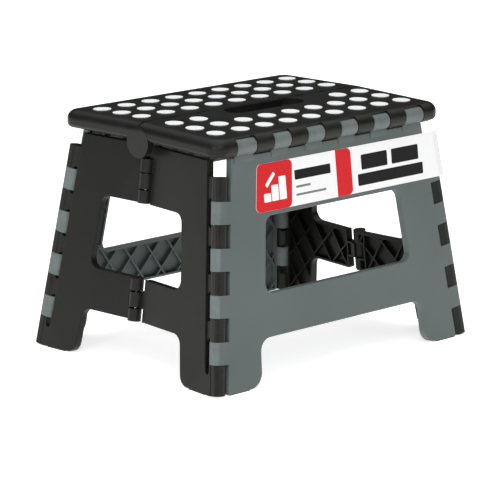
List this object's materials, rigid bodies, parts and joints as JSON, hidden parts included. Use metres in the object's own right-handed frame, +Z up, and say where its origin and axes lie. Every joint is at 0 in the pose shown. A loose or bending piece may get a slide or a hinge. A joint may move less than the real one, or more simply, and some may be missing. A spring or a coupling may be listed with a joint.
{
  "type": "folding step stool",
  "caption": "Low folding step stool: two leaning grey panels, black side halves that fold inwards and a dotted seat that folds up along its middle.",
  "frame": {"origin": "middle of the footprint, on the floor", "axes": "+Z up, -Y towards the labelled front panel, +X to the right of that panel as seen from in front"},
  "size_m": [0.318, 0.2462, 0.2217],
  "materials": {
    "grey_plastic": "fine moulded satin grey polypropylene",
    "black_plastic": "fine moulded satin black polypropylene",
    "steel": "drawn steel wire",
    "dots": "soft matt off-white anti-slip rubber",
    "foot_pads": "matt black rubber",
    "label": "white printed film label"
  },
  "bodies": {
    "front_panel": {"front_panel": "grey_plastic", "front_foot_pads": "foot_pads", "left_front_pin": "steel", "right_front_pin": "steel", "label": "label"},
    "back_panel": {"back_panel": "grey_plastic", "back_foot_pads": "foot_pads", "left_back_pin": "steel", "right_back_pin": "steel"},
    "top_front_half": {"top_front_half": "black_plastic", "top_front_dots": "dots", "top_front_pin": "steel", "top_centre_left_pin": "steel", "top_centre_right_pin": "steel"},
    "top_back_half": {"top_back_half": "black_plastic", "top_back_dots": "dots", "top_back_pin": "steel"},
    "left_front_side": {"left_front_side": "black_plastic", "left_front_foot_pad": "foot_pads"},
    "right_back_side": {"right_back_side": "black_plastic", "right_back_foot_pad": "foot_pads"},
    "left_back_side": {"left_back_side": "black_plastic", "left_back_foot_pad": "foot_pads", "left_side_lower_pin": "steel", "left_side_upper_pin": "steel"},
    "right_front_side": {"right_front_side": "black_plastic", "right_front_foot_pad": "foot_pads", "right_side_lower_pin": "steel", "right_side_upper_pin": "steel"}
  },
  "joints": [
    {"name": "front_seat_hinge", "type": "hinge", "parent": "front_panel", "child": "top_front_half", "pos_m": [0, -0.09605, 0.20989], "axis": [1, 0, 0], "range_deg": [0, 77.84]},
    {"name": "middle_seat_hinge", "type": "hinge", "parent": "top_front_half", "child": "top_back_half", "pos_m": [0, 0, 0.2039], "axis": [1, 0, 0], "range_deg": [-169.94, 0]},
    {"name": "back_seat_hinge", "type": "hinge", "parent": "top_back_half", "child": "back_panel", "pos_m": [0, 0.09605, 0.20989], "axis": [1, 0, 0], "range_deg": [0, 77.84]},
    {"name": "left_front_corner", "type": "hinge", "parent": "front_panel", "child": "left_front_side", "pos_m": [-0.15171, -0.11615, -0.00089], "axis": [0.1275, 0.123, 0.9842], "range_deg": [-86.01, 0]},
    {"name": "right_front_corner", "type": "hinge", "parent": "front_panel", "child": "right_front_side", "pos_m": [0.15171, -0.11615, -0.00089], "axis": [-0.1275, 0.123, 0.9842], "range_deg": [0, 86.01]},
    {"name": "left_back_corner", "type": "hinge", "parent": "back_panel", "child": "left_back_side", "pos_m": [-0.15171, 0.11615, -0.00089], "axis": [0.1275, -0.123, 0.9842], "range_deg": [0, 86.01]},
    {"name": "right_back_corner", "type": "hinge", "parent": "back_panel", "child": "right_back_side", "pos_m": [0.15171, 0.11615, -0.00089], "axis": [-0.1275, -0.123, 0.9842], "range_deg": [-86.01, 0]}
  ],
  "couplings": [
    {"joint": "middle_seat_hinge", "follows": "front_seat_hinge", "ratio": -2.1831},
    {"joint": "back_seat_hinge", "follows": "front_seat_hinge", "ratio": 1},
    {"joint": "left_front_corner", "follows": "front_seat_hinge", "ratio": -1.1049},
    {"joint": "right_front_corner", "follows": "front_seat_hinge", "ratio": 1.1049},
    {"joint": "left_back_corner", "follows": "front_seat_hinge", "ratio": 1.1049},
    {"joint": "right_back_corner", "follows": "front_seat_hinge", "ratio": -1.1049}
  ]
}
